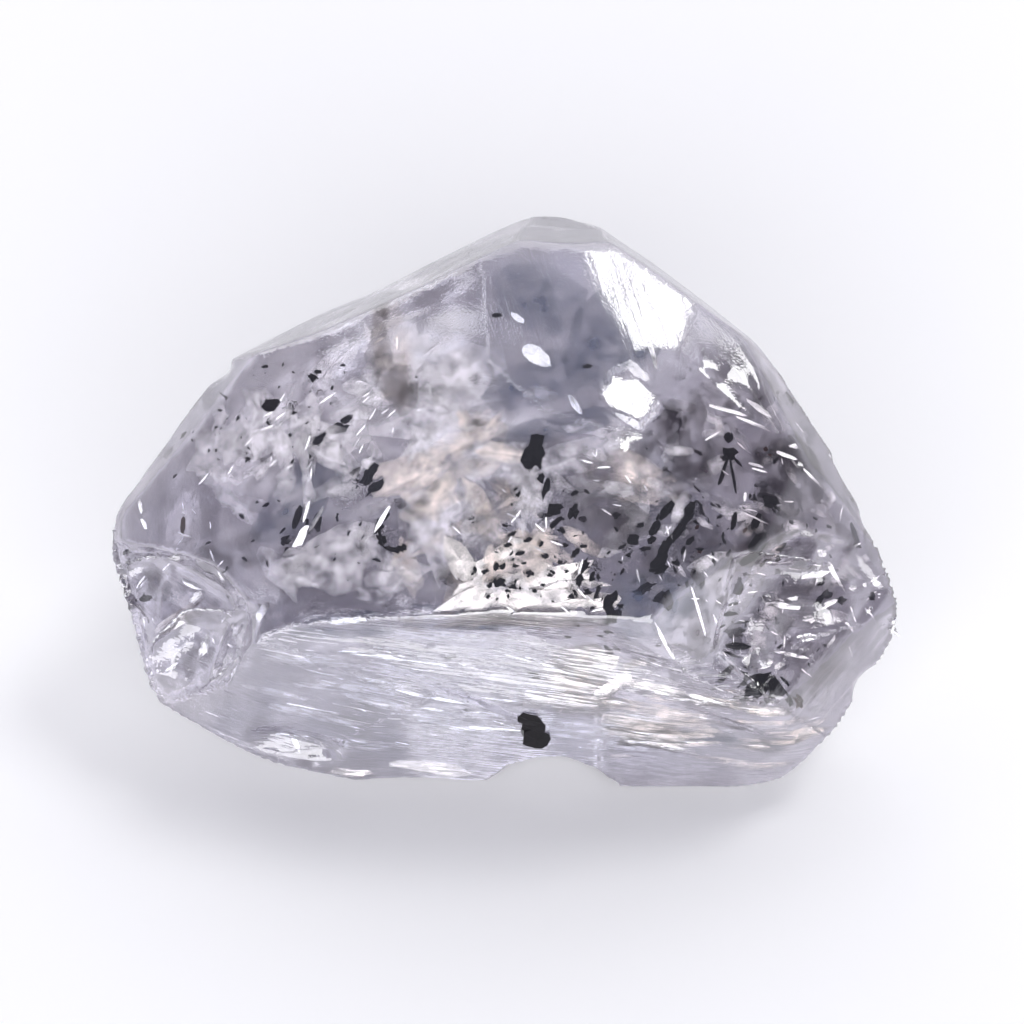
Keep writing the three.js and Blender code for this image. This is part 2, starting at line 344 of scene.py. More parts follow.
@dataclass
class FineMesh:
    """A triangle mesh as arrays, in millimetres, with the smoothing that a natural skin needs."""

    points: np.ndarray
    faces: np.ndarray

    def face_normals(self) -> tuple[np.ndarray, np.ndarray]:
        """Returns each triangle's unit normal and its area."""
        a, b, c = (self.points[self.faces[:, i]] for i in range(3))
        cross = np.cross(b - a, c - a)
        size = np.linalg.norm(cross, axis=1)
        return cross / np.maximum(size, 1e-12)[:, None], size / 2

    def point_normals(self) -> np.ndarray:
        """Returns each vertex's unit normal, weighted by area."""
        normals, areas = self.face_normals()
        total = np.zeros_like(self.points)
        for i in range(3):
            np.add.at(total, self.faces[:, i], normals * areas[:, None])
        return total / np.maximum(np.linalg.norm(total, axis=1), 1e-12)[:, None]

    def neighbours(self) -> np.ndarray:
        """Returns the three triangles across each triangle's edges."""
        count = len(self.faces)
        edges = np.stack([self.faces, np.roll(self.faces, -1, axis=1)], axis=2).reshape(-1, 2)
        edges = np.sort(edges, axis=1)
        key = edges[:, 0].astype(np.int64) * (len(self.points) + 1) + edges[:, 1]
        order = np.argsort(key, kind="stable")
        owner = np.arange(count * 3) // 3
        first, second = order[0::2], order[1::2]
        across = np.empty(count * 3, np.int64)
        across[first] = owner[second]
        across[second] = owner[first]
        return across.reshape(-1, 3)

    def sharpen(self, rounds: int, moves: int, keep: float) -> None:
        """Evens out facets and keeps creases, by smoothing the normals and moving the points to suit.

        Args:
            rounds: How often each triangle's normal takes in its neighbours'.
            moves: How often the points then move.
            keep: The angle in degrees beyond which two triangles are a crease.
        """
        across = self.neighbours()
        normals, areas = self.face_normals()
        limit = math.radians(keep)
        for _ in range(rounds):
            beside = normals[across]
            cosine = np.clip(np.einsum("ijk,ik->ij", beside, normals), -1, 1)
            weight = np.exp(-((np.arccos(cosine) / limit) ** 2)) * areas[across]
            normals = normals * areas[:, None] + np.einsum("ijk,ij->ik", beside, weight)
            normals /= np.maximum(np.linalg.norm(normals, axis=1), 1e-12)[:, None]
        for _ in range(moves):
            middle = self.points[self.faces].mean(axis=1)
            shift = np.zeros_like(self.points)
            count = np.zeros(len(self.points))
            for i in range(3):
                corner = self.points[self.faces[:, i]]
                off = np.einsum("ij,ij->i", normals, middle - corner)
                np.add.at(shift, self.faces[:, i], normals * off[:, None])
                np.add.at(count, self.faces[:, i], 1)
            self.points += shift / np.maximum(count, 1)[:, None]

    def relax(self, share: np.ndarray, rounds: int) -> None:
        """Rounds the mesh off a little, by drawing each point towards the middle of its neighbours.

        Args:
            share: How much each point takes part, from 0 to 1.
            rounds: How often.
        """
        corners = self.faces.ravel()
        count = np.bincount(corners, minlength=len(self.points))[:, None]
        for _ in range(rounds):
            middle = np.repeat(self.points[self.faces].mean(axis=1), 3, axis=0)
            total = [np.bincount(corners, middle[:, axis], len(self.points)) for axis in range(3)]
            self.points += (np.stack(total, axis=1) / count - self.points) * (share * 0.8)[:, None]

    def to_object(self, name: str) -> Object:
        """Makes a smooth Blender object of it, in metres.

        Args:
            name: The object's name.

        Returns:
            The linked object.
        """
        mesh = bpy.data.meshes.new(name)
        mesh.from_pydata((self.points * MM).tolist(), [], self.faces.tolist())
        mesh.polygons.foreach_set("use_smooth", np.ones(len(self.faces), bool))
        mesh.update()
        return linked(name, mesh)


@dataclass
class Skin:
    """The stone's fine mesh while it is worked, with how the front eye sees each point."""

    mesh: FineMesh
    normals: np.ndarray = field(init=False)
    places: np.ndarray = field(init=False)  # in the front eye's picture
    facing: np.ndarray = field(init=False)  # 1 towards the front eye, -1 away

    def __post_init__(self) -> None:
        """Measures the mesh as it comes."""
        self.measure()

    def measure(self) -> None:
        """Measures the mesh again, after its points have moved."""
        self.normals = self.mesh.point_normals()
        self.places = Eye().picture(self.mesh.points)
        self.facing = self.normals @ np.array(from_view(0, 0, 1))

    def area(self, outline: Outline, soft: float) -> np.ndarray:
        """How much each point belongs to an area of the front, from 0 to 1."""
        front = np.clip(self.facing * 4 - 0.4, 0, 1)
        share = np.zeros(len(front))
        seen = front > 0
        share[seen] = within(outline, self.places[seen], soft)
        return share * front

    def lift(self, height: np.ndarray) -> None:
        """Moves each point out along its normal by a height in millimetres."""
        self.mesh.points += self.normals * height[:, None]
        self.measure()


@dataclass(frozen=True)
class Shells:
    """Shallow shell-shaped hollows that meet in crisp ridges, as on a fresh break."""

    spacing: float  # mm between hollows
    depth: float  # mm
    seed: int
    tilt: float = 0.5

    def height(self, skin: Skin, share: np.ndarray) -> np.ndarray:
        """How far each point stands out, in millimetres.

        Args:
            skin: The skin that is worked.
            share: How much each point belongs to the area.

        Returns:
            Heights at or below nothing.
        """
        random = np.random.default_rng(self.seed)
        points = skin.mesh.points
        left = np.flatnonzero(share > 0.02)
        left = left[random.permutation(len(left))]
        level = np.full(len(points), 9.0)
        while len(left):
            heart = points[left[0]]
            lean = random.normal(0, self.tilt, 3)
            wide = self.spacing * random.uniform(0.7, 1.5)
            away = (points - heart) / wide
            bowl = np.einsum("ij,ij->i", away, away) + away @ lean * 0.4
            level = np.minimum(level, bowl)
            gap = np.linalg.norm(points[left] - heart, axis=1)
            left = left[gap > wide * 0.85]
        return np.clip(level / 0.9 - 1, -1.3, 0) * self.depth * share


@dataclass(frozen=True)
class Striae:
    """Fine parallel ridges along one direction, as on a cleaved step."""

    clock: float  # degrees in the front eye's view, along the lines
    spacing: float  # mm
    depth: float  # mm
    seed: int

    def run(self, skin: Skin) -> np.ndarray:
        """Returns each point's place across and along the lines, in millimetres."""
        turn = math.radians(self.clock)
        along = np.array(from_view(math.cos(turn), math.sin(turn), 0))
        aside = np.array(from_view(-math.sin(turn), math.cos(turn), 0))
        depth = np.array(from_view(0, 0, 1))
        points = skin.mesh.points
        return np.stack([points @ aside + 0.6 * (points @ depth), points @ along], axis=1)

    def height(self, skin: Skin, share: np.ndarray) -> np.ndarray:
        """How far each point stands out, in millimetres, where the area's share is above nothing."""
        run = self.run(skin)
        total = np.zeros(len(run))
        for octave, part in ((1, 1.0), (2, 0.6), (4.2, 0.4)):
            size = self.spacing / octave
            at = np.stack([run[:, 0] / size, run[:, 1] / (size * 9), np.zeros(len(run))], axis=1)
            total += part * (1 - 2 * np.abs(waves(at, self.seed + round(octave))))
        return total * self.depth * share * 0.5


@dataclass(frozen=True)
class Terraces:
    """Thin growth layers with stepped borders, as on a natural crystal face."""

    size: float  # mm, of the layers
    step: float  # mm, the height of one
    count: float
    seed: int

    def height(self, skin: Skin, share: np.ndarray) -> np.ndarray:
        """How far each point stands out, in millimetres."""
        points = skin.mesh.points
        coarse, fine = waves(points / self.size, self.seed), waves(points / self.size * 2.6, 3)
        level = self.count * (coarse + 0.35 * fine)
        stair = np.floor(level) + np.clip((level - np.floor(level)) * 5, 0, 1)
        return (stair - level.max()) * self.step * share


@dataclass(frozen=True)
class Trigons:
    """Three-sided etch pits, all turned the same way."""

    count: int
    size: float  # mm, the largest
    depth: float
    seed: int

    def height(self, skin: Skin, share: np.ndarray) -> np.ndarray:
        """How far each point stands out, in millimetres."""
        random = np.random.default_rng(self.seed)
        open_to = np.flatnonzero(share > 0.9)
        total = np.zeros(len(share))
        for heart in random.choice(open_to, min(self.count, len(open_to)), replace=False):
            normal = skin.normals[heart]
            right = np.cross((0.0, 0.0, 1.0), normal)
            right /= np.linalg.norm(right)
            up = np.cross(normal, right)
            size = self.size * random.uniform(0.4, 1.0)
            away = skin.mesh.points - skin.mesh.points[heart]
            flat = np.stack([away @ right, away @ up], axis=1)
            reach = np.full(len(away), -9.0)
            for clock in (90, 210, 330):
                side = np.array([math.cos(math.radians(clock)), math.sin(math.radians(clock))])
                reach = np.maximum(reach, flat @ side / size)
            near = np.einsum("ij,ij->i", away, away) < (3 * size) ** 2
            pit = np.clip(1 - reach, 0, 0.6) / 0.6 * near
            total = np.minimum(total, -self.depth * size / self.size * pit)
        return total * share


@dataclass(frozen=True)
class Facet:
    """A small true plane in the skin, that catches the light all at once."""

    outline: Outline
    clock: float
    lean: float
    dig: float = 0.0  # mm that it lies below the skin's mean
    soft: float = 4.0

    def flatten(self, skin: Skin) -> None:
        """Moves the area's points into the plane.

        Args:
            skin: The skin that is worked.
        """
        share = skin.area(self.outline, self.soft)
        lean, clock = math.radians(self.lean), math.radians(self.clock)
        across, up = math.sin(lean) * math.cos(clock), math.sin(lean) * math.sin(clock)
        normal = np.array(from_view(across, up, math.cos(lean)))
        points = skin.mesh.points
        level = points @ normal
        core = share > 0.5
        target = level[core].mean() - self.dig
        gap = target - level
        points += normal * (gap * share * np.clip(1.6 - np.abs(gap) / 0.15, 0, 1))[:, None]
        skin.measure()


@dataclass(frozen=True)
class Tint:
    """A faint colour laid over an area of the stone; some are real stains, others painted shade."""

    outline: Outline
    colour: tuple[float, float, float]
    strength: float
    soft: float = 30.0


class Finish(Enum):
    """How a stretch of the skin is finished: its roughness, its fine grain and its fine lines."""

    GLOSSY = (0.03, 0.05, 0.0)
    GROWN = (0.04, 0.2, 0.0)
    SATIN = (0.24, 0.7, 0.3)
    CLEAVED = (0.12, 0.2, 1.0)
    BROKEN = (0.06, 0.35, 0.15)
    FROSTED = (0.1, 1.0, 0.5)


@dataclass(frozen=True)
class Patch:
    """One area of the front with its own relief and finish."""

    outline: Outline
    finish: Finish
    reliefs: tuple[Shells | Striae, ...] = ()
    soft: float = 10.0


LEDGE = Patch(
    ((262, 634), (330, 612), (440, 614), (600, 620), (690, 652), (640, 700), (560, 712),
     (440, 690), (330, 668)),
    Finish.CLEAVED,
    (Striae(-9, 0.22, 0.03, 5),),
)
LOW_LEFT = Patch(
    ((170, 700), (225, 682), (262, 640), (370, 680), (440, 690), (410, 712), (345, 742),
     (250, 760), (180, 725)),
    Finish.CLEAVED,
    (Striae(-17, 0.2, 0.022, 9),),
)
FOOT_STEP = Patch(
    ((345, 738), (413, 705), (520, 712), (595, 712), (600, 780), (480, 800), (330, 790)),
    Finish.CLEAVED,
    (Striae(-6, 0.2, 0.022, 12),),
)
LEFT_END = Patch(
    ((100, 540), (165, 552), (212, 566), (244, 600), (250, 640), (228, 682), (160, 702), (120, 660)),
    Finish.BROKEN,
    (Shells(0.62, 0.11, 3, 0.9), Shells(0.3, 0.03, 4)),
    6.0,
)
RIGHT_FLANK = Patch(
    ((735, 560), (800, 530), (850, 545), (884, 590), (860, 625), (800, 640), (760, 690), (715, 650)),
    Finish.BROKEN,
    (Shells(0.5, 0.07, 7, 0.9), Shells(0.24, 0.02, 8)),
    12.0,
)
LOW_RIGHT = Patch(
    ((800, 640), (860, 625), (915, 612), (880, 680), (840, 745), (790, 712), (760, 690)),
    Finish.BROKEN,
    (Striae(42, 0.16, 0.02, 14), Shells(0.55, 0.03, 15)),
)
RIGHT_FOOT = Patch(
    ((600, 700), (690, 655), (790, 705), (845, 740), (790, 800), (600, 800)),
    Finish.CLEAVED,
    (Striae(-14, 0.22, 0.03, 16), Shells(0.6, 0.05, 17)),
)
SHOULDER = Patch(
    ((665, 395), (700, 350), (790, 385), (850, 500), (800, 530), (735, 560), (690, 500), (640, 450)),
    Finish.GLOSSY,
    (Shells(0.9, 0.03, 18, 0.7),),
    30.0,
)
CROWN = Patch(
    ((480, 240), (625, 240), (700, 290), (750, 335), (700, 372), (650, 440), (545, 410), (488, 360)),
    Finish.SATIN,
    (Striae(-58, 0.2, 0.006, 19),),
    60.0,
)
PATCHES = (CROWN, SHOULDER, LEDGE, LOW_LEFT, FOOT_STEP, RIGHT_FOOT, LOW_RIGHT, RIGHT_FLANK, LEFT_END)

FACETS = (
    Facet(
        ((598, 398), (612, 412), (640, 428), (660, 406), (646, 378), (630, 362), (610, 372)),
        clock=58,
        lean=29.5,
        dig=0.01,
    ),
)

# The first tint is a real brown stain. The bluish tints over the crown, the left end and the ledge are
# painted shade. The mauve tint over the right flank is partly the stone's own colour and partly painted
# shade.
TINTS = (
    Tint(((372, 300), (398, 300), (412, 350), (408, 410), (386, 400), (370, 350)),
         (0.55, 0.46, 0.38), 0.75, 14),
    Tint(((690, 340), (790, 380), (880, 560), (850, 740), (760, 700), (700, 480)),
         (0.68, 0.62, 0.64), 0.7, 80),
    Tint(((480, 240), (600, 250), (620, 340), (590, 430), (500, 420), (470, 330)),
         (0.66, 0.69, 0.86), 0.7, 50),
    Tint(((110, 540), (170, 470), (280, 500), (270, 620), (200, 690), (130, 660)),
         (0.60, 0.60, 0.73), 0.7, 40),
    Tint(((280, 600), (460, 610), (600, 700), (740, 760), (500, 790), (200, 740)),
         (0.72, 0.78, 0.96), 0.6, 60),
)


def product(tree: NodeTree, *factors: NodeSocket) -> NodeSocket:
    """Returns the output of a node that multiplies two values."""
    return add(tree, "ShaderNodeMath", dict(enumerate(factors)), operation="MULTIPLY").outputs[0]


@dataclass
class Stone:
    """The clear body of the diamond."""

    voxel: float = 0.06  # mm between the points of the fine skin
    skin: Skin | None = field(default=None, init=False)

    def remeshed(self) -> FineMesh:
        """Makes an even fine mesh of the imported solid.

        Returns:
            The mesh in millimetres.
        """
        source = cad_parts[NODE].data
        work = bmesh.new()
        work.from_mesh(source)
        bmesh.ops.scale(work, vec=(1 / MM,) * 3, verts=work.verts)
        bmesh.ops.remove_doubles(work, verts=work.verts, dist=1e-3)
        mesh = bpy.data.meshes.new("remesh_work")
        work.to_mesh(mesh)
        work.free()
        holder = linked("remesh_work", mesh)
        remesh = holder.modifiers.new("even", "REMESH")
        remesh.mode = "VOXEL"
        remesh.voxel_size = self.voxel
        remesh.adaptivity = 0
        holder.modifiers.new("cut", "TRIANGULATE")
        graph = bpy.context.evaluated_depsgraph_get()
        done = bpy.data.meshes.new_from_object(holder.evaluated_get(graph))
        points = np.empty(len(done.vertices) * 3)
        done.vertices.foreach_get("co", points)
        faces = np.empty(len(done.polygons) * 3, np.int32)
        done.polygons.foreach_get("vertices", faces)
        bpy.data.objects.remove(holder)
        bpy.data.meshes.remove(mesh)
        bpy.data.meshes.remove(done)
        return FineMesh(points.reshape(-1, 3), faces.reshape(-1, 3).astype(np.int64))

    def work_hidden_side(self, skin: Skin) -> None:
        """Gives the faces behind and below their layers, pits and hollows.

        Args:
            skin: The skin that is worked.
        """
        hidden = np.clip(-skin.facing * 3 - 0.1, 0, 1)
        behind = hidden * np.clip(skin.normals[:, 2] * 3 + 1.2, 0, 1)
        skin.lift(Shells(1.1, 0.1, 20, 1.0).height(skin, behind))
        skin.lift(Terraces(0.9, 0.025, 3.0, 21).height(skin, behind))
        skin.lift(Trigons(26, 0.34, 0.05, 22).height(skin, behind))
        below = hidden * (1 - behind)
        skin.lift(Shells(0.85, 0.15, 23, 1.2).height(skin, below))
        skin.lift(Shells(0.36, 0.04, 24, 0.9).height(skin, below))

    def work_front(self, skin: Skin) -> None:
        """Gives the front its breaks, lines and glinting facets.

        Args:
            skin: The skin that is worked.
        """
        for facet in FACETS:
            facet.flatten(skin)
        for patch in PATCHES:
            share = skin.area(patch.outline, patch.soft)
            for relief in patch.reliefs:
                clear_of_rim = np.clip(skin.facing * 2.5 - 0.5, 0, 1)
                skin.lift(relief.height(skin, share * clear_of_rim))

    def finishes(self, skin: Skin) -> dict[str, np.ndarray]:
        """Works out the roughness, grain and line strength of each point.

        Args:
            skin: The worked skin.

        Returns:
            The three values by attribute name.
        """
        front = np.clip(skin.facing * 4 + 0.3, 0, 1)
        grown, frosted = (np.array(f.value)[:, None] for f in (Finish.GROWN, Finish.FROSTED))
        values = grown * front + frosted * (1 - front)
        for patch in PATCHES:
            share = skin.area(patch.outline, patch.soft)
            values = values * (1 - share) + np.array(patch.finish.value)[:, None] * share
        return dict(zip(("frost", "grain", "lines"), values))

    def line_places(self, skin: Skin) -> np.ndarray:
        """Returns each point's place across and along the lines of the patch that it lies in."""
        run = np.zeros((len(skin.mesh.points), 3))
        run[:, :2] = Striae(-12, 0.2, 0, 0).run(skin)
        for patch in PATCHES:
            lined = [relief for relief in patch.reliefs if isinstance(relief, Striae)]
            inside = skin.area(patch.outline, patch.soft) > 0.5
            for striae in lined:
                run[inside, :2] = striae.run(skin)[inside]
        return run

    def colours(self, skin: Skin) -> np.ndarray:
        """Works out each point's colour: the faint body colour, the brown stain and the painted shade of
        the tints.

        Args:
            skin: The worked skin.

        Returns:
            Red, green and blue to a row.
        """
        colour = np.tile(np.array([0.98, 0.97, 1.0]), (len(skin.mesh.points), 1))
        mottle = 0.75 + 0.25 * waves(skin.mesh.points / 0.35, 31)
        for tint in TINTS:
            share = skin.area(tint.outline, tint.soft) * tint.strength * mottle
            colour = colour * (1 - share[:, None]) + np.array(tint.colour) * share[:, None]
        return colour

    def build(self) -> Object:
        """Makes the stone's skin.

        Returns:
            The stone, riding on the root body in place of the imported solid.
        """
        mesh = self.remeshed()
        mesh.sharpen(rounds=30, moves=20, keep=14)
        self.skin = skin = Skin(mesh)
        worn = np.clip(0.9 - skin.facing * 3, 0, 1)
        mesh.relax(worn, 10)
        skin.measure()
        self.work_hidden_side(skin)
        mesh.relax(worn, 3)
        skin.measure()
        self.work_front(skin)
        low, high = np.array(CAD_LOW) / MM, np.array(CAD_HIGH) / MM
        mesh.points = np.clip(mesh.points, low, high)
        skin.measure()
        stone = mesh.to_object("diamond_body")
        for name, values in self.finishes(skin).items():
            layer = stone.data.attributes.new(name, "FLOAT", "POINT")
            layer.data.foreach_set("value", values.astype(np.float32))
        run = stone.data.attributes.new("line_place", "FLOAT_VECTOR", "POINT")
        run.data.foreach_set("vector", self.line_places(skin).astype(np.float32).ravel())
        # Colour with the tints' painted shade, read as the glass's base colour.
        tint = stone.data.attributes.new("colour_with_shade", "FLOAT_VECTOR", "POINT")
        tint.data.foreach_set("vector", self.colours(skin).astype(np.float32).ravel())
        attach(stone, "root")
        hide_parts(NODE)
        return stone

    def dress(self, stone: Object) -> None:
        """Gives the stone its clear material.

        Args:
            stone: The stone's object.
        """
        tree, shader = new_material(stone.data, "clear_diamond")
        layers = {}
        for name in ("frost", "grain", "lines", "line_place", "colour_with_shade"):
            layers[name] = add(tree, "ShaderNodeAttribute", attribute_name=name).outputs
        place = add(tree, "ShaderNodeTexCoord").outputs["Object"]
        grain = add(tree, "ShaderNodeTexNoise", {"Scale": 26000.0, "Detail": 1.0, "Vector": place})
        spread = {"Scale": (16.0, 1.6, 1.0), "Vector": layers["line_place"]["Vector"]}
        along = add(tree, "ShaderNodeMapping", spread).outputs["Vector"]
        lines = add(tree, "ShaderNodeTexNoise", {"Scale": 1.0, "Detail": 1.0, "Vector": along})
        grain_part = product(tree, grain.outputs["Fac"], layers["grain"]["Fac"])
        lines_part = product(tree, lines.outputs["Fac"], layers["lines"]["Fac"])
        parts = {0: lines_part, 1: 4.0, 2: grain_part}
        whole = add(tree, "ShaderNodeMath", parts, operation="MULTIPLY_ADD").outputs[0]
        bump = add(tree, "ShaderNodeBump", {"Distance": 6e-6, "Height": whole})
        look = {
            "Transmission Weight": 0.985,
            "IOR": DIAMOND_IOR,
            # the base colour holds the tints' painted shade as well as the body colour
            "Base Color": layers["colour_with_shade"]["Vector"],
            "Roughness": layers["frost"]["Fac"],
            "Normal": bump.outputs["Normal"],
        }
        wire(tree, shader, look)
        haze = {"Color": (0.52, 0.40, 0.66, 1), "Density": 20.0}
        volume = add(tree, "ShaderNodeVolumeAbsorption", haze).outputs["Volume"]
        wire(tree, tree.nodes["Material Output"], {"Volume": volume})


FAR_SIDE = 99.0  # mm: as deep as the stone goes, close under its far skin
AIM_ERROR = 0.045  # how far a crack's normal may lie from the one that throws the light to the eye


@dataclass
class Sight:
    """The front eye's lines of sight, bent where they enter the stone."""

    skin: Skin
    tree: BVHTree = field(init=False)

    def __post_init__(self) -> None:
        """Builds the tree that the lines of sight are tested against."""
        mesh = self.skin.mesh
        self.tree = BVHTree.FromPolygons(mesh.points.tolist(), mesh.faces.tolist())

    def inside(self, place: tuple[float, float], deep: float) -> tuple[Vector, Vector, Vector]:
        """Finds the point that shows at a place in the picture, some way inside the stone.

        Args:
            place: The place in the front eye's picture.
            deep: Millimetres below the skin along the bent line of sight, or FAR_SIDE.

        Returns:
            The point in millimetres, the direction of the line there and the skin's normal above it.
        """
        eye = Eye()
        start = eye.place()
        sight = (eye.target(place) - start).normalized()
        hit, _, index, _ = self.tree.ray_cast(start, sight)
        if hit is None:
            raise ValueError(f"nothing of the stone shows at {place}")
        corners = self.skin.mesh.faces[index]
        normal = Vector(self.skin.normals[corners].mean(axis=0)).normalized()
        ratio = 1 / DIAMOND_IOR
        cosine = -normal.dot(sight)
        bent = sight * ratio + normal * (ratio * cosine - math.sqrt(1 - ratio**2 * (1 - cosine**2)))
        bent.normalize()
        chord = self.tree.ray_cast(hit + bent * 0.01, bent)[3]
        if chord is not None:
            deep = chord - 0.2 if deep > FAR_SIDE / 9 and chord > 0.6 else min(deep, chord * 0.35)
        return hit + bent * deep, bent, normal

    def deep_in(self, point: Vector) -> bool:
        """Whether a point lies inside the stone."""
        near, normal, _, _ = self.tree.find_nearest(point)
        return (point - near).dot(normal) < 0

    def reach(self, heart: Vector, offset: Vector) -> Vector:
        """Goes out from a point inside the stone, but never through its skin.

        Args:
            heart: The point inside.
            offset: How far to go, and which way.

        Returns:
            The place reached.
        """
        room = self.tree.ray_cast(heart, offset.normalized())[3]
        far = offset.length
        if room is not None and self.deep_in(heart):
            far = min(far, room * 0.8)
        return heart + offset.normalized() * far

    @staticmethod
    def aim(normal: Vector, bent: Vector) -> Vector:
        """Finds how a crack lies that throws a lamp's light back along a line of sight.

        Args:
            normal: The skin's normal above the crack.
            bent: The direction of the line of sight inside the stone.

        Returns:
            The crack's normal.
        """
        lamp = Vector(FILL_LAMP).normalized()
        cosine = normal.dot(lamp)
        if cosine < 0.3:
            return -bent
        ratio = 1 / DIAMOND_IOR
        light = -lamp * ratio + normal * (ratio * cosine - math.sqrt(1 - ratio**2 * (1 - cosine**2)))
        return -(bent + light.normalized()).normalized()


class Form(Enum):
    """The outline of a flake: how many corners it has and how uneven they are."""

    SHARD = (13, 0.75)
    LEAF = (12, 0.3)
    SPOT = (10, 0.4)
    DASH = (7, 0.3)


SHARD, LEAF, SPOT, DASH = Form


class Hue(Enum):
    """What a flake or veil is made of, or for the shade veils the painted shade they stand for: its colour
    and how much it hides.
    """

    GRAPHITE = (0.010, 0.009, 0.011, 1.0)
    SMOKE = (0.06, 0.06, 0.08, 1.0)
    RUST = (0.10, 0.035, 0.02, 1.0)
    GLINT = (1.0, 0.99, 1.0, 1.0)
    WINDOW = (1.0, 0.96, 0.93, 2.2)
    PALE = (0.93, 0.9, 0.94, 0.45)
    WARM = (1.0, 0.89, 0.82, 0.62)
    # The next two are veils of painted shade, bluish and mauve, that darken and tint areas of the body.
    COOL = (0.30, 0.38, 0.58, 0.7)
    MAUVE = (0.26, 0.21, 0.26, 0.7)
    BROWN = (0.32, 0.26, 0.22, 0.62)

    def bright(self) -> bool:
        """Whether it is a crack that shines like a mirror."""
        return self in (Hue.GLINT, Hue.WINDOW, Hue.PALE, Hue.WARM)


GRAPHITE, SMOKE, RUST, GLINT, WINDOW, PALE, WARM, COOL, MAUVE, BROWN = Hue


@dataclass(frozen=True)
class Flake:
    """One flake or veil inside the stone, as it shows in the front eye's picture."""

    across: float
    down: float
    long: float
    wide: float
    turn: float = 0.0  # degrees, of its length, to the left of right
    form: Form = Form.SHARD
    hue: Hue = Hue.GRAPHITE
    deep: float = 0.2  # mm under the skin

    def mesh(self, sight: Sight, random: np.random.Generator) -> tuple[list[Vector], list[tuple[int, ...]]]:
        """Makes the flake as a thin closed lens.

        Args:
            sight: The lines of sight that place it.
            random: The source of its unevenness.

        Returns:
            Its points in millimetres, the middles of its two sides first, and its faces.
        """
        deep = self.deep * random.uniform(0.75, 1.3)
        heart, bent, normal = sight.inside((self.across, self.down), deep)
        turn = math.radians(self.turn)
        right = Vector(from_view(math.cos(turn), math.sin(turn), 0))
        if self.hue.bright():
            out = (sight.aim(normal, bent) + Vector(random.normal(0, AIM_ERROR, 3))).normalized()
        elif self.deep < 0:
            out = normal
        else:
            out = (Vector(random.normal(0, 0.2, 3)) - bent).normalized()
        right = (right - out * right.dot(out)).normalized()
        aside = out.cross(right)
        corners, uneven = self.form.value
        half = min(0.02, self.wide / PER_MM / (80 if self.hue.bright() else 5))
        points = [heart + out * half, heart - out * half]
        for i in range(corners):
            angle = 2 * math.pi * (i + random.uniform(-0.3, 0.3)) / corners
            reach = (1.32 - uneven * random.random()) / 2 / PER_MM
            offset = right * (math.cos(angle) * reach * self.long)
            offset += aside * (math.sin(angle) * reach * self.wide)
            points.append(sight.reach(heart, offset + out * (random.uniform(-half, half) * 0.6)))
        faces = []
        for i in range(corners):
            one, two = 2 + i, 2 + (i + 1) % corners
            faces += [(0, one, two), (1, two, one)]
        return points, faces


@dataclass(frozen=True)
class Scatter:
    """Many small flakes strewn over an area of the picture."""

    outline: Outline
    count: int
    long: float
    wide: float
    turn: float
    spread: float
    hue: Hue
    form: Form = Form.DASH
    deep: float = 0.12

    def flakes(self, seed: int) -> tuple[Flake, ...]:
        """Strews the flakes.

        Args:
            seed: What their places are drawn from.

        Returns:
            The flakes.
        """
        random = np.random.default_rng(seed)
        corners = np.array(self.outline, float)
        places = random.uniform(corners.min(axis=0), corners.max(axis=0), (self.count * 6, 2))
        places = places[within(self.outline, places, 1.0) > 0.5][: self.count]
        made = []
        for across, down in places.tolist():
            size = random.uniform(0.4, 1.3)
            turn = random.normal(self.turn, self.spread)
            deep = self.deep * random.uniform(0.4, 2.5)
            long, wide = self.long * size, self.wide * size
            made.append(Flake(across, down, long, wide, turn, self.form, self.hue, deep))
        return tuple(made)


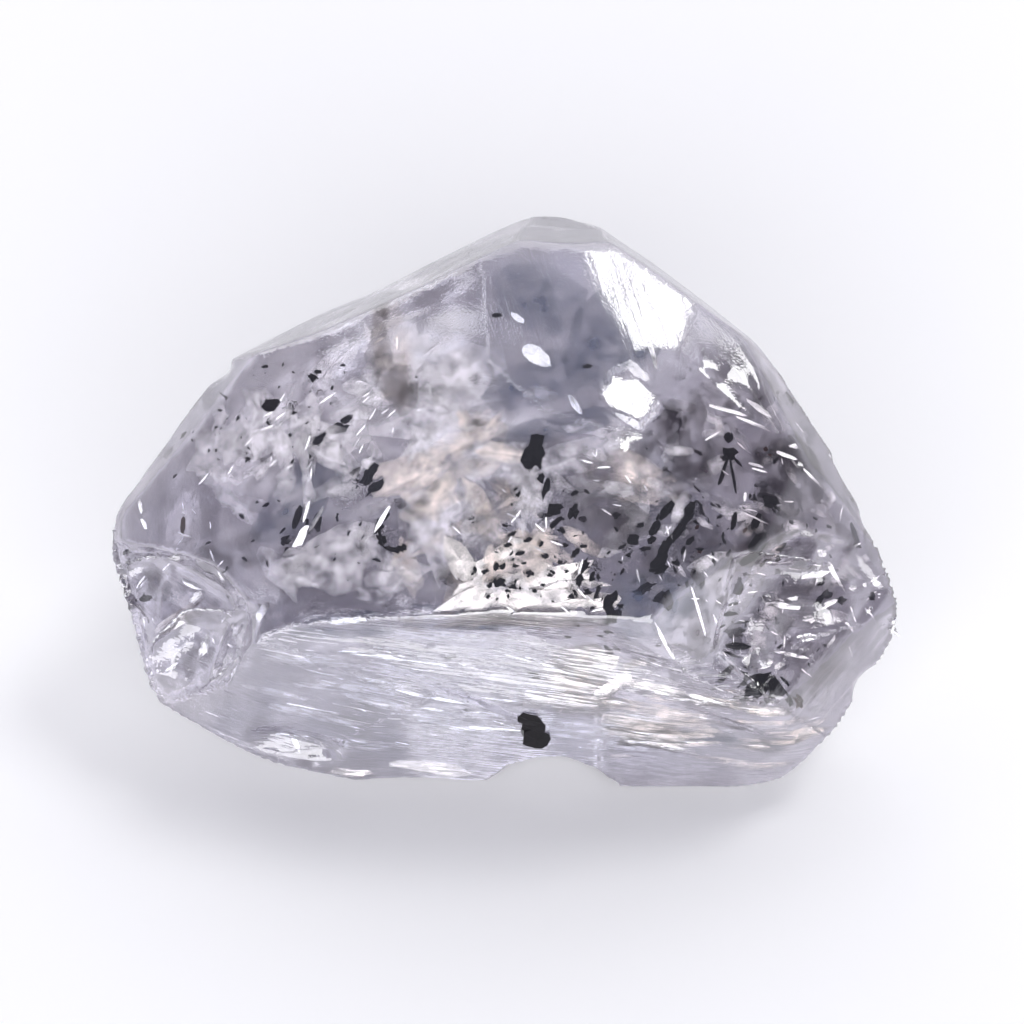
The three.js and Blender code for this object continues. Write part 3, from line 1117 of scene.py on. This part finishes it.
@dataclass
class Inclusions:
    """The flakes of some hues, such as dark graphite or pale feathers, made as one piece."""

    sight: Sight
    name: str
    hues: tuple[Hue, ...]
    veiled: bool = False  # see-through, and fading towards the rim

    def build(self, flakes: tuple[Flake, ...]) -> Object:
        """Makes the flakes of its hues as one piece.

        Args:
            flakes: All the flakes of the stone.

        Returns:
            Its flakes, riding on the root body.
        """
        random = np.random.default_rng(SEED)
        points: list[Vector] = []
        faces: list[tuple[int, ...]] = []
        hues: list[tuple[float, ...]] = []
        fades: list[float] = []
        for flake in flakes:
            if flake.hue not in self.hues:
                continue
            more, sides = flake.mesh(self.sight, random)
            faces += [tuple(i + len(points) for i in side) for side in sides]
            points += more
            hues += [flake.hue.value[:3]] * len(more)
            fades += [flake.hue.value[3]] * 2 + [flake.hue.value[3] * 0.35] * (len(more) - 2)
        mesh = bpy.data.meshes.new(self.name)
        mesh.from_pydata([p * MM for p in points], [], faces)
        mesh.update()
        hue = mesh.attributes.new("hue", "FLOAT_VECTOR", "POINT")
        hue.data.foreach_set("vector", np.array(hues, np.float32).ravel())
        fade = mesh.attributes.new("fade", "FLOAT", "POINT")
        fade.data.foreach_set("value", np.array(fades, np.float32))
        made = linked(self.name, mesh)
        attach(made, "root")
        return made

    def dress(self, made: Object) -> None:
        """Gives the flakes their uneven colour, and veils their faded rims.

        Args:
            made: The flakes' object.
        """
        tree, shader = new_material(made.data, self.name)
        place = add(tree, "ShaderNodeTexCoord").outputs["Object"]
        noise = {"Scale": 4500.0, "Detail": 1.0, "Vector": place}
        grain = add(tree, "ShaderNodeTexNoise", noise).outputs["Fac"]
        hue = add(tree, "ShaderNodeAttribute", attribute_name="hue").outputs["Vector"]
        mixed = {"Factor": 0.35, "A": hue, "B": grain}
        uneven = add(tree, "ShaderNodeMix", mixed, data_type="RGBA", blend_type="MULTIPLY")
        shining = self.hues[0].bright()
        look = {
            "Base Color": uneven.outputs["Result"],
            "Roughness": 0.2 if shining else 0.55,
            "Metallic": 1.0 if shining else 0.0,
            "Specular IOR Level": 0.2,
        }
        if self.veiled:
            fade = add(tree, "ShaderNodeAttribute", attribute_name="fade").outputs["Fac"]
            holes = {"From Min": 0.2, "From Max": 0.75, "Value": grain}
            patchy = add(tree, "ShaderNodeMapRange", holes).outputs["Result"]
            look["Alpha"] = product(tree, fade, patchy)
        wire(tree, shader, look)


def flakes(form: Form, hue: Hue, deep: float, *rows: tuple) -> tuple[Flake, ...]:
    """Makes a group of flakes.

    Args:
        form: The group's form.
        hue: The group's hue.
        deep: How far under the skin it lies, in millimetres.
        rows: How far right and down each flake is, its length and its width, all in picture points. Its
            turn in degrees follows, and what it has of its own: a depth, a form or a hue.

    Returns:
        The flakes.
    """
    made = []
    for across, down, long, wide, *own in rows:
        numbers = [value for value in own if not isinstance(value, Enum)]
        turn, depth = numbers + [0.0, deep][len(numbers) :]
        own_form = next((value for value in own if isinstance(value, Form)), form)
        own_hue = next((value for value in own if isinstance(value, Hue)), hue)
        made.append(Flake(across, down, long, wide, turn, own_form, own_hue, depth))
    return tuple(made)


DARK_FLAKES = flakes(
    SHARD, GRAPHITE, 0.2,
    (535, 452, 36, 24, 82), (530, 462, 16, 12, 20, SPOT), (541, 478, 13, 9, 70), (545, 490, 22, 8, 80),
    (555, 508, 17, 12, 30), (573, 512, 18, 11, 60), (556, 522, 15, 6, 50, DASH), (562, 530, 8, 6),
    (548, 515, 9, 5), (500, 583, 13, 9), (513, 587, 9, 6), (530, 573, 9, 7, 40),
    (520, 553, 11, 4, 20, DASH), (507, 545, 8, 5), (528, 540, 9, 4, 20, DASH), (545, 556, 8, 5),
    (535, 591, 6, 4), (550, 575, 7, 4), (515, 566, 6, 4), (560, 562, 7, 4), (512, 534, 9, 4, 30, DASH),
    (566, 545, 7, 5), (543, 585, 5, 4), (524, 563, 5, 3), (575, 553, 12, 6, 60), (585, 566, 17, 7, 70),
    (580, 580, 13, 7, 75), (592, 577, 14, 6, 80), (588, 592, 10, 6), (572, 597, 8, 5),
    (598, 590, 10, 5, 60), (583, 546, 8, 5), (567, 571, 6, 4), (610, 600, 22, 13, 88),
    (611, 618, 17, 12, 80), (608, 632, 12, 9), (620, 606, 8, 5), (577, 625, 8, 5), (568, 637, 7, 5),
    (616, 648, 9, 4, DASH), (658, 645, 6, 4), (600, 636, 8, 4), (662, 555, 36, 14, 54),
    (675, 535, 40, 9, 56), (686, 520, 26, 7, 52, LEAF), (667, 510, 22, 8, 50, LEAF),
    (690, 508, 16, 7, 50, LEAF), (633, 540, 11, 10, SPOT), (616, 515, 9, 7), (655, 528, 18, 8, 55, LEAF),
    (645, 549, 10, 6), (690, 541, 11, 5, 50, LEAF), (640, 525, 8, 5), (660, 569, 20, 9, 20),
    (700, 549, 8, 4), (676, 563, 9, 5), (652, 540, 12, 7, 60), (628, 555, 6, 5), (683, 550, 9, 4, 60, DASH),
    (730, 453, 19, 15, 30), (733, 476, 34, 3, -82, DASH), (724, 468, 24, 3, 66, DASH),
    (721, 479, 13, 4, 60, DASH), (738, 462, 12, 3, -50, DASH), (725, 458, 10, 6), (771, 502, 16, 14, 20),
    (777, 508, 8, 4, -40), (765, 497, 7, 4, 30), (754, 550, 38, 11, 55, LEAF), (756, 522, 18, 7, 62, LEAF),
    (762, 564, 15, 7, 50), (781, 547, 14, 5, 35, DASH), (739, 584, 17, 10, 62), (734, 521, 17, 5, 60, LEAF),
    (778, 560, 10, 5, 40), (745, 574, 8, 5), (733, 604, 13, 4, -5, DASH), (729, 614, 22, 5, -6, DASH),
    (733, 633, 26, 15, -4), (722, 626, 12, 4, -8, DASH), (738, 646, 26, 6, -4, DASH),
    (733, 655, 20, 3, -6, DASH), (741, 622, 20, 3, -6, DASH), (757, 686, 38, 22, 35, 0.05),
    (778, 690, 34, 20, -50, 0.05), (744, 692, 20, 4, 30, DASH), (768, 700, 16, 7, -20),
    (790, 700, 14, 6, -60), (752, 678, 18, 5, 25, DASH), (742, 684, 14, 3, 45, DASH),
    (786, 682, 12, 4, -40, DASH), (725, 674, 14, 5, 20, DASH), (721, 680, 12, 3, 20, DASH),
    (729, 668, 9, 3, 20, DASH), (530, 719, 22, 20, -14, -0.012, LEAF),
    (536, 738, 23, 28, -14, -0.012, LEAF), (533, 728, 20, 26, -60, -0.012, LEAF), (533, 673, 12, 3, DASH),
    (535, 678, 9, 3, DASH), (492, 629, 5, 4), (450, 657, 12, 4, 10, DASH), (379, 526, 20, 9, 72),
    (381, 540, 20, 9, 105), (391, 549, 19, 7, -28), (402, 548, 10, 8), (386, 517, 10, 4, 60),
    (270, 405, 17, 12, 10, SPOT), (313, 377, 12, 9, -30), (318, 372, 7, 5), (248, 459, 8, 7),
    (183, 435, 9, 8), (290, 435, 5, 4), (265, 366, 7, 4), (146, 598, 17, 11, -5), (497, 315, 9, 5, DASH),
    (587, 366, 10, 5), (852, 500, 9, 3, -60, DASH), (776, 460, 8, 4, 40), (803, 470, 6, 3),
    (343, 365, 6, 3),
)
SMOKY_FLAKES = flakes(
    SHARD, SMOKE, 0.7,
    (315, 440, 26, 10, 20, 0.5), (332, 430, 30, 14, 25, 0.6), (346, 420, 16, 8, 30, 0.5),
    (368, 475, 26, 12, 60, 0.5), (376, 487, 22, 9, 40, 0.4), (355, 472, 15, 7, 50, 0.4),
    (297, 517, 22, 7, 70, 0.3, LEAF), (318, 521, 20, 10, 85, 0.3), (285, 541, 14, 10, 0, 0.3),
    (606, 648, 18, 10, 90), (541, 515, 8, 6, 0, 0.6, SPOT), (583, 519, 7, 6, 0, 0.6, SPOT),
    (643, 590, 22, 9, 30), (664, 600, 16, 7, 40), (700, 575, 20, 8, 60),
    (183, 525, 15, 5, 90, 0.1, DASH, RUST), (800, 703, 20, 9, -40, 0.15, RUST),
    (766, 449, 6, 4, 30, 0.2, RUST), (770, 455, 5, 3, 0, 0.2, RUST), (697, 527, 5, 3, 60, 0.2, DASH, RUST),
    (745, 530, 6, 3, 60, 0.2, DASH, RUST), (127, 552, 14, 8, 20, 0.1), (855, 535, 26, 5, -65, 0.25, DASH),
    (700, 551, 7, 4, 40, 0.2, RUST), (825, 596, 20, 9, 30, 0.15), (842, 600, 12, 8, 0, 0.15),
    (872, 597, 10, 10, 60, 0.12),
)
# Among the veils, the blue and mauve ones are painted shade that darkens and tints areas of the body; the
# brown ones are a real stain.
VEILS = flakes(
    SHARD, PALE, 0.4,
    (500, 592, 110, 40, 22, 0.5, WINDOW), (560, 580, 90, 40, 5, 0.5, WINDOW),
    (460, 560, 46, 26, -60, SPOT, WINDOW), (590, 600, 50, 24, WINDOW), (455, 605, 60, 14, 35, LEAF, WINDOW),
    (520, 560, 90, 40, 20, 0.5, WARM), (450, 520, 120, 90, 70, 0.7), (430, 470, 110, 60, 20, 0.6, WARM),
    (520, 470, 110, 60, -20, 0.6), (665, 605, 100, 60, 10, 0.5, COOL), (300, 495, 150, 80, 40, 0.7, COOL),
    (225, 560, 110, 70, 20, 0.5, MAUVE), (380, 345, 30, 80, 8, 0.2, BROWN),
    (400, 390, 34, 60, 14, 0.2, BROWN), (380, 305, 20, 24, 0, 0.15, BROWN), (463, 372, 80, 70, 30),
    (590, 452, 130, 30, 10, LEAF), (640, 480, 90, 40, -20, 0.5, LEAF, WARM), (340, 560, 120, 60, 20, 0.6),
    (420, 410, 160, 50, -5, 0.7, LEAF), (250, 430, 110, 60, 45, 0.5), (570, 672, 100, 50, 40, 0.3, WINDOW),
    (650, 735, 110, 50, -20, 0.3, WINDOW), (640, 662, 44, 11, 38, 0.2, LEAF, WINDOW),
    (576, 690, 90, 60, 30, 0.3, WARM), (660, 725, 120, 70, -20, 0.3, WARM), (620, 745, 60, 30, 0, 0.3),
    (430, 768, 70, 20, -10, 0.1, WINDOW), (350, 772, 50, 12, -10, 0.1, WINDOW),
    (178, 622, 66, 11, 33, 0.1, LEAF, WINDOW), (655, 686, 60, 9, -16, 0.2, LEAF, WINDOW),
    (712, 700, 66, 10, -10, 0.2, LEAF, WINDOW), (768, 714, 60, 10, -20, 0.2, LEAF, WINDOW),
    (812, 731, 50, 8, -26, 0.2, LEAF, WINDOW), (612, 686, 44, 11, 38, 0.2, LEAF, WINDOW),
    (760, 745, 110, 18, -10, 0.15, COOL), (740, 728, 60, 9, -14, 0.15, LEAF, MAUVE),
    (790, 742, 60, 9, -14, 0.15, LEAF, MAUVE), (705, 735, 60, 20, -10, 0.15, LEAF, COOL),
    (500, 560, 60, 30, 20, 0.5, WINDOW), (540, 600, 80, 30, 0, 0.45, WINDOW),
    (480, 600, 60, 24, 25, 0.45, WINDOW), (700, 560, 120, 70, 55, 0.6, MAUVE),
    (790, 600, 110, 80, 10, MAUVE), (700, 470, 90, 50, 30, 0.5, MAUVE),
    (740, 370, 90, 40, -20, LEAF, MAUVE), (790, 480, 60, 90, 20, LEAF, MAUVE),
    (540, 300, 90, 60, -30, LEAF, COOL), (752, 560, 70, 46, 55, 0.3, WARM),
    (820, 670, 90, 60, 40, 0.3, MAUVE), (640, 350, 30, 50, -60, 0.1, LEAF, COOL),
    (760, 630, 70, 40, 0, 0.25), (330, 632, 130, 16, 6, 0.1, LEAF, COOL),
    (500, 628, 160, 14, -2, 0.1, LEAF, COOL), (600, 340, 60, 90, -20, 0.3, LEAF, COOL),
    (540, 380, 100, 50, 20, LEAF, COOL), (190, 660, 60, 40, 30, 0.3, MAUVE),
    (150, 580, 50, 50, 20, 0.3, MAUVE), (600, 520, 80, 70, 30, 0.6, MAUVE),
    (560, 425, 120, 26, 10, 0.3, LEAF, COOL),
)
GLINTS = flakes(
    DASH, GLINT, 0.06,
    (727, 410, 38, 3.5, -14, 0.08), (760, 409, 30, 6, -30, 0.08), (755, 424, 34, 3.5, -20, 0.08),
    (786, 455, 22, 4, -16), (756, 465, 14, 3, -15), (797, 446, 16, 5, 5), (832, 570, 44, 4, -58),
    (822, 553, 12, 8, SHARD), (815, 575, 26, 7, 8), (853, 588, 9, 6, SHARD), (865, 585, 6, 5, SHARD),
    (876, 584, 8, 5, SHARD), (828, 604, 26, 5, 25), (810, 619, 14, 8, SHARD), (785, 606, 34, 5, -8),
    (757, 617, 28, 3.5, -14), (789, 654, 38, 3, -11), (768, 661, 10, 6, -10, 0.05, SPOT),
    (781, 666, 12, 6, 5, 0.05, SPOT), (672, 655, 52, 3, -66, 0.05), (663, 640, 40, 2.5, -62, 0.05),
    (536, 355, 28, 14, -40, 0.08, LEAF), (518, 318, 16, 6, -40, 0.05), (575, 404, 22, 6, -60, 0.05),
    (382, 519, 26, 4, 60, 0.12, LEAF), (316, 519, 26, 4, 60, 0.12, LEAF), (306, 512, 20, 3, 75, 0.12, LEAF),
    (300, 538, 24, 10, 55, 0.12, SHARD), (192, 584, 22, 7, -22, 0.05, LEAF),
    (196, 597, 14, 9, 40, 0.05, SHARD), (206, 645, 34, 9, 65, 0.08, SHARD), (233, 673, 22, 4, 35, 0.04),
    (140, 505, 16, 4, -75, 0.04), (144, 524, 12, 4, -60, 0.04), (184, 512, 4, 4, 0, 0.05, SPOT),
    (294, 739, 26, 4, -68, 0.03), (258, 617, 34, 9, 52), (430, 697, 60, 4, -14, 0.05),
    (370, 655, 60, 4, -10, 0.05), (345, 622, 50, 8, 6, 0.05, SHARD), (652, 350, 34, 5, -76, 0.04),
    (745, 497, 9, 3, 80, 0.05), (815, 480, 30, 3, -40, 0.04), (700, 616, 60, 3, -65),
)
MIDDLE = ((250, 420), (420, 330), (640, 330), (820, 500), (760, 640), (300, 620))
SCATTERS = (
    Scatter(((700, 430), (790, 400), (868, 540), (880, 600), (840, 680), (760, 680), (700, 600)),
            50, 13, 1.5, -35, 35, GLINT),
    Scatter(((125, 530), (200, 500), (250, 600), (230, 680), (155, 680)),
            24, 14, 1.8, 40, 50, GLINT),
    Scatter(((420, 480), (640, 440), (720, 600), (600, 620), (440, 610)),
            40, 11, 1.4, -60, 40, GLINT),
    Scatter(((270, 645), (640, 650), (820, 720), (600, 760), (260, 735)),
            50, 44, 1.6, -12, 6, GLINT, deep=0.05),
    Scatter(((170, 480), (260, 380), (420, 310), (440, 420), (300, 480)),
            36, 11, 1.6, 55, 25, GLINT),
    Scatter(((180, 470), (260, 370), (440, 310), (640, 440), (650, 590), (300, 600)),
            80, 60, 26, 35, 50, PALE, SHARD, 0.45),
    Scatter(((380, 400), (560, 430), (600, 540), (420, 600), (360, 480)),
            24, 60, 26, 35, 50, WARM, SHARD, 0.45),
    Scatter(((280, 650), (640, 650), (820, 720), (600, 760), (260, 735)),
            30, 70, 9, -12, 8, PALE, LEAF, 0.15),
    Scatter(((600, 700), (690, 690), (826, 730), (780, 765), (610, 758)),
            36, 60, 7, -10, 8, WARM, LEAF, 0.15),
    Scatter(((340, 740), (600, 715), (600, 748), (500, 742), (340, 764)),
            24, 60, 6, -8, 6, PALE, LEAF, 0.12),
    Scatter(((660, 400), (790, 400), (870, 560), (800, 700), (660, 600)),
            40, 34, 12, -30, 50, PALE, LEAF, 0.25),
    # Dark mauve veils of painted shade over the right flank.
    Scatter(((640, 400), (790, 400), (870, 560), (800, 700), (640, 600)),
            40, 50, 20, 40, 50, MAUVE, LEAF, 0.3),
    Scatter(((470, 480), (720, 500), (720, 600), (620, 610), (470, 600)),
            60, 7, 3.5, 50, 50, GRAPHITE, SHARD),
    Scatter(((700, 500), (860, 520), (860, 600), (800, 700), (740, 690)),
            50, 7, 3.0, -30, 50, GRAPHITE, SHARD),
    Scatter(((240, 350), (340, 370), (330, 470), (160, 480)),
            34, 5, 2.5, 30, 50, GRAPHITE, SHARD),
    Scatter(((190, 500), (380, 480), (380, 560), (200, 590)),
            30, 8, 3.0, 50, 40, SMOKE, SHARD, 0.3),
    Scatter(MIDDLE, 34, 16, 7, 30, 60, GRAPHITE, SHARD, FAR_SIDE),
    Scatter(MIDDLE, 60, 6, 4, 30, 60, GRAPHITE, SHARD, FAR_SIDE),
)


@dataclass
class Specks:
    """The clouds of dust-fine dark specks."""

    sight: Sight
    outline: Outline
    name: str
    density: float  # specks to the square millimetre
    size: float  # mm
    deep: float = 0.2
    step: float = 22.0

    def carrier(self) -> Object:
        """Makes the sheet under the skin that the specks are strewn on."""
        corners = np.array(self.outline, float)
        low, high = corners.min(axis=0), corners.max(axis=0)
        mesh = bmesh.new()
        rows = []
        for down in np.arange(low[1], high[1], self.step):
            row = []
            for across in np.arange(low[0], high[0], self.step):
                seen = within(self.outline, np.array([[across, down]]), 1.0)[0] > 0.5
                at = self.sight.inside((across, down), self.deep)[0] * MM if seen else None
                row.append(mesh.verts.new(at) if seen else None)
            rows.append(row)
        for upper, lower in zip(rows, rows[1:]):
            for i in range(len(upper) - 1):
                around = [upper[i], upper[i + 1], lower[i + 1], lower[i]]
                if all(around):
                    mesh.faces.new(around)
        data = bpy.data.meshes.new(self.name)
        mesh.to_mesh(data)
        mesh.free()
        return linked(self.name, data)

    def strewer(self, material: Material) -> NodeTree:
        """Makes the node tree that strews specks over a sheet.

        Args:
            material: The specks' material.

        Returns:
            The tree, with inputs for the specks' density, size, spread and seed.
        """
        tree = bpy.data.node_groups.new(f"{self.name}_strewer", "GeometryNodeTree")
        face = tree.interface
        face.new_socket("Sheet", in_out="INPUT", socket_type="NodeSocketGeometry")
        sizes = {"Density": self.density / MM**2, "Size": self.size * MM, "Spread": 0.3 * MM}
        for label, value in sizes.items():
            socket = face.new_socket(label, in_out="INPUT", socket_type="NodeSocketFloat")
            socket.default_value = value
        face.new_socket("Seed", in_out="INPUT", socket_type="NodeSocketInt").default_value = SEED
        face.new_socket("Specks", in_out="OUTPUT", socket_type="NodeSocketGeometry")
        given = tree.nodes.new("NodeGroupInput").outputs
        sown = {"Mesh": given["Sheet"], "Density": given["Density"], "Seed": given["Seed"]}
        strewn = add(tree, "GeometryNodeDistributePointsOnFaces", sown).outputs
        depth = add(tree, "FunctionNodeRandomValue", {"Max": given["Spread"], "Seed": given["Seed"]})
        sunk = {0: strewn["Normal"], "Scale": depth.outputs[1]}
        drop = add(tree, "ShaderNodeVectorMath", sunk, operation="SCALE").outputs[0]
        moved = add(tree, "GeometryNodeSetPosition", {"Geometry": strewn["Points"], "Offset": drop})
        ball = add(tree, "GeometryNodeMeshIcoSphere", {"Subdivisions": 1, "Radius": given["Size"]})
        turns = {"Max": (6.28, 6.28, 6.28)}
        turn = add(tree, "FunctionNodeRandomValue", turns, data_type="FLOAT_VECTOR")
        widths = {"Min": (0.25, 0.2, 0.15), "Max": (1.3, 0.8, 0.5)}
        wide = add(tree, "FunctionNodeRandomValue", widths, data_type="FLOAT_VECTOR")
        specks = {
            "Points": moved.outputs["Geometry"],
            "Instance": ball.outputs["Mesh"],
            "Rotation": turn.outputs[0],
            "Scale": wide.outputs[0],
        }
        placed = add(tree, "GeometryNodeInstanceOnPoints", specks).outputs["Instances"]
        real = add(tree, "GeometryNodeRealizeInstances", {"Geometry": placed}).outputs["Geometry"]
        dressed = add(tree, "GeometryNodeSetMaterial", {"Geometry": real, "Material": material})
        add(tree, "NodeGroupOutput", {"Specks": dressed.outputs["Geometry"]})
        return tree

    def build(self, material: Material) -> Object:
        """Strews the specks and makes them one plain mesh.

        Args:
            material: The specks' material.

        Returns:
            The specks, riding on the root body.
        """
        sheet = self.carrier()
        modifier = sheet.modifiers.new("strew", "NODES")
        modifier.node_group = self.strewer(material)
        graph = bpy.context.evaluated_depsgraph_get()
        done = bpy.data.meshes.new_from_object(sheet.evaluated_get(graph))
        old = sheet.data
        sheet.modifiers.clear()
        sheet.data = done
        bpy.data.meshes.remove(old)
        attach(sheet, "root")
        return sheet


CLOUDS = (  # name, specks to the square millimetre, size in mm, outline
    ("left_specks", 22, 0.028, ((190, 425), (250, 378), (360, 345), (350, 420), (270, 470), (190, 470))),
    ("middle_specks", 16, 0.03, ((490, 530), (620, 530), (640, 600), (490, 605))),
    ("right_specks", 9, 0.026, ((640, 490), (820, 470), (836, 690), (700, 690), (640, 590))),
    ("stray_specks", 2.5, 0.022, ((180, 450), (480, 320), (700, 420), (700, 600), (300, 600))),
)


def main() -> None:
    """Builds the camera, the studio and the stone with what lies in it, in order."""
    logging.basicConfig(level=logging.INFO, format="%(name)s: %(message)s")
    Eye().build()
    Studio().build()
    stone = Stone()
    body = stone.build()
    stone.dress(body)
    log.info("stone: %d triangles", len(body.data.polygons))
    sight = Sight(stone.skin)
    strewn = DARK_FLAKES + SMOKY_FLAKES + VEILS + GLINTS
    for i, scatter in enumerate(SCATTERS):
        strewn += scatter.flakes(SEED + i)
    dark = None
    for kind in (
        Inclusions(sight, "graphite_flakes", (GRAPHITE, SMOKE, RUST)),
        Inclusions(sight, "bright_cracks", (GLINT,)),
        Inclusions(sight, "pale_feathers", (PALE, WARM, WINDOW), veiled=True),
        # Veils of painted shade, blue and mauve, together with the real brown stain, as one piece.
        Inclusions(sight, "stain_and_shade_veils", (COOL, MAUVE, BROWN), veiled=True),
    ):
        made = kind.build(strewn)
        kind.dress(made)
        dark = dark or made.data.materials[0]
        log.info("%s: %d triangles", kind.name, len(made.data.polygons))
    for name, density, size, outline in CLOUDS:
        specks = Specks(sight, outline, name, density, size).build(dark)
        log.info("%s: %d triangles", name, len(specks.data.polygons))


if __name__ == "__main__":
    main()
